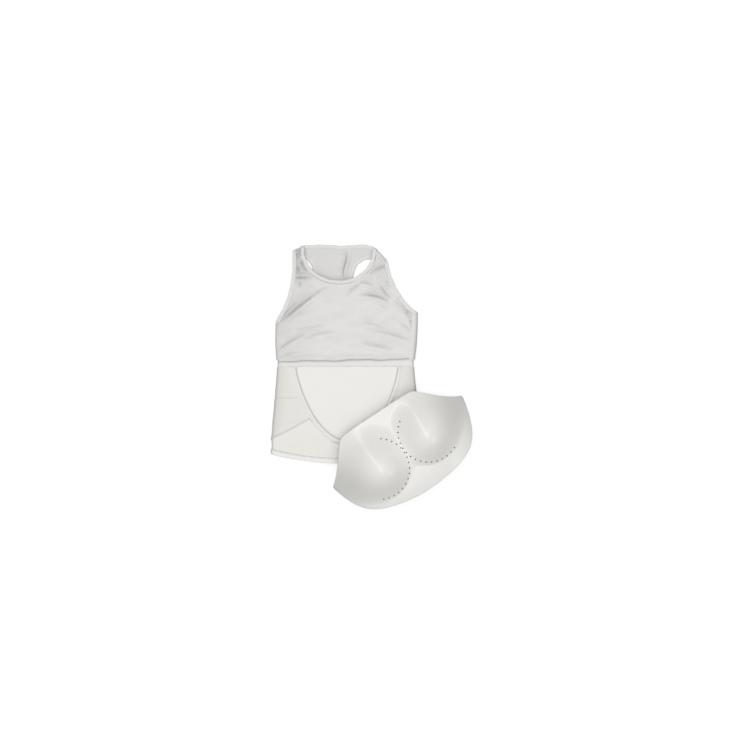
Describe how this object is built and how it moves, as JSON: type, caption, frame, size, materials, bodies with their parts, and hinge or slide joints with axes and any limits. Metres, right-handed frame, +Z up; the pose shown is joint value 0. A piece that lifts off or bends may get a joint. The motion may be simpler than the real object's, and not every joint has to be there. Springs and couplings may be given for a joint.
{
  "type": "karate chest protector",
  "caption": "Sleeveless racerback top with a padded belly section, laid flat, and its moulded plastic bust shell with vent holes lying over the lower corner.",
  "frame": {"origin": "middle of the layout's bounding box in plan, on the table", "axes": "+Z up from the table, +Y towards the neck of the top, +X to the right seen from above"},
  "size_m": [0.4293, 0.5631, 0.0847],
  "materials": {
    "jersey": "matt stretch jersey",
    "jersey_back": "matt ribbed jersey",
    "binding": "folded jersey strip",
    "elastic": "woven elastic",
    "padding": "smooth cloth over foam",
    "side_padding": "smooth cloth over foam",
    "shell_plastic": "semi-gloss moulded plastic"
  },
  "bodies": {
    "root": {"front_panel": "jersey", "back_panel": "jersey_back", "front_neck_binding": "binding", "back_neck_binding": "binding", "left_armhole_binding": "binding", "right_armhole_binding": "binding", "waist_band": "elastic", "bib_pad": "padding", "bib_piping": "padding", "left_wing": "side_padding", "right_wing": "side_padding", "lower_panel": "side_padding", "back_waist_panel": "side_padding", "hem_band": "elastic", "bust_shell": "shell_plastic"}
  },
  "joints": []
}
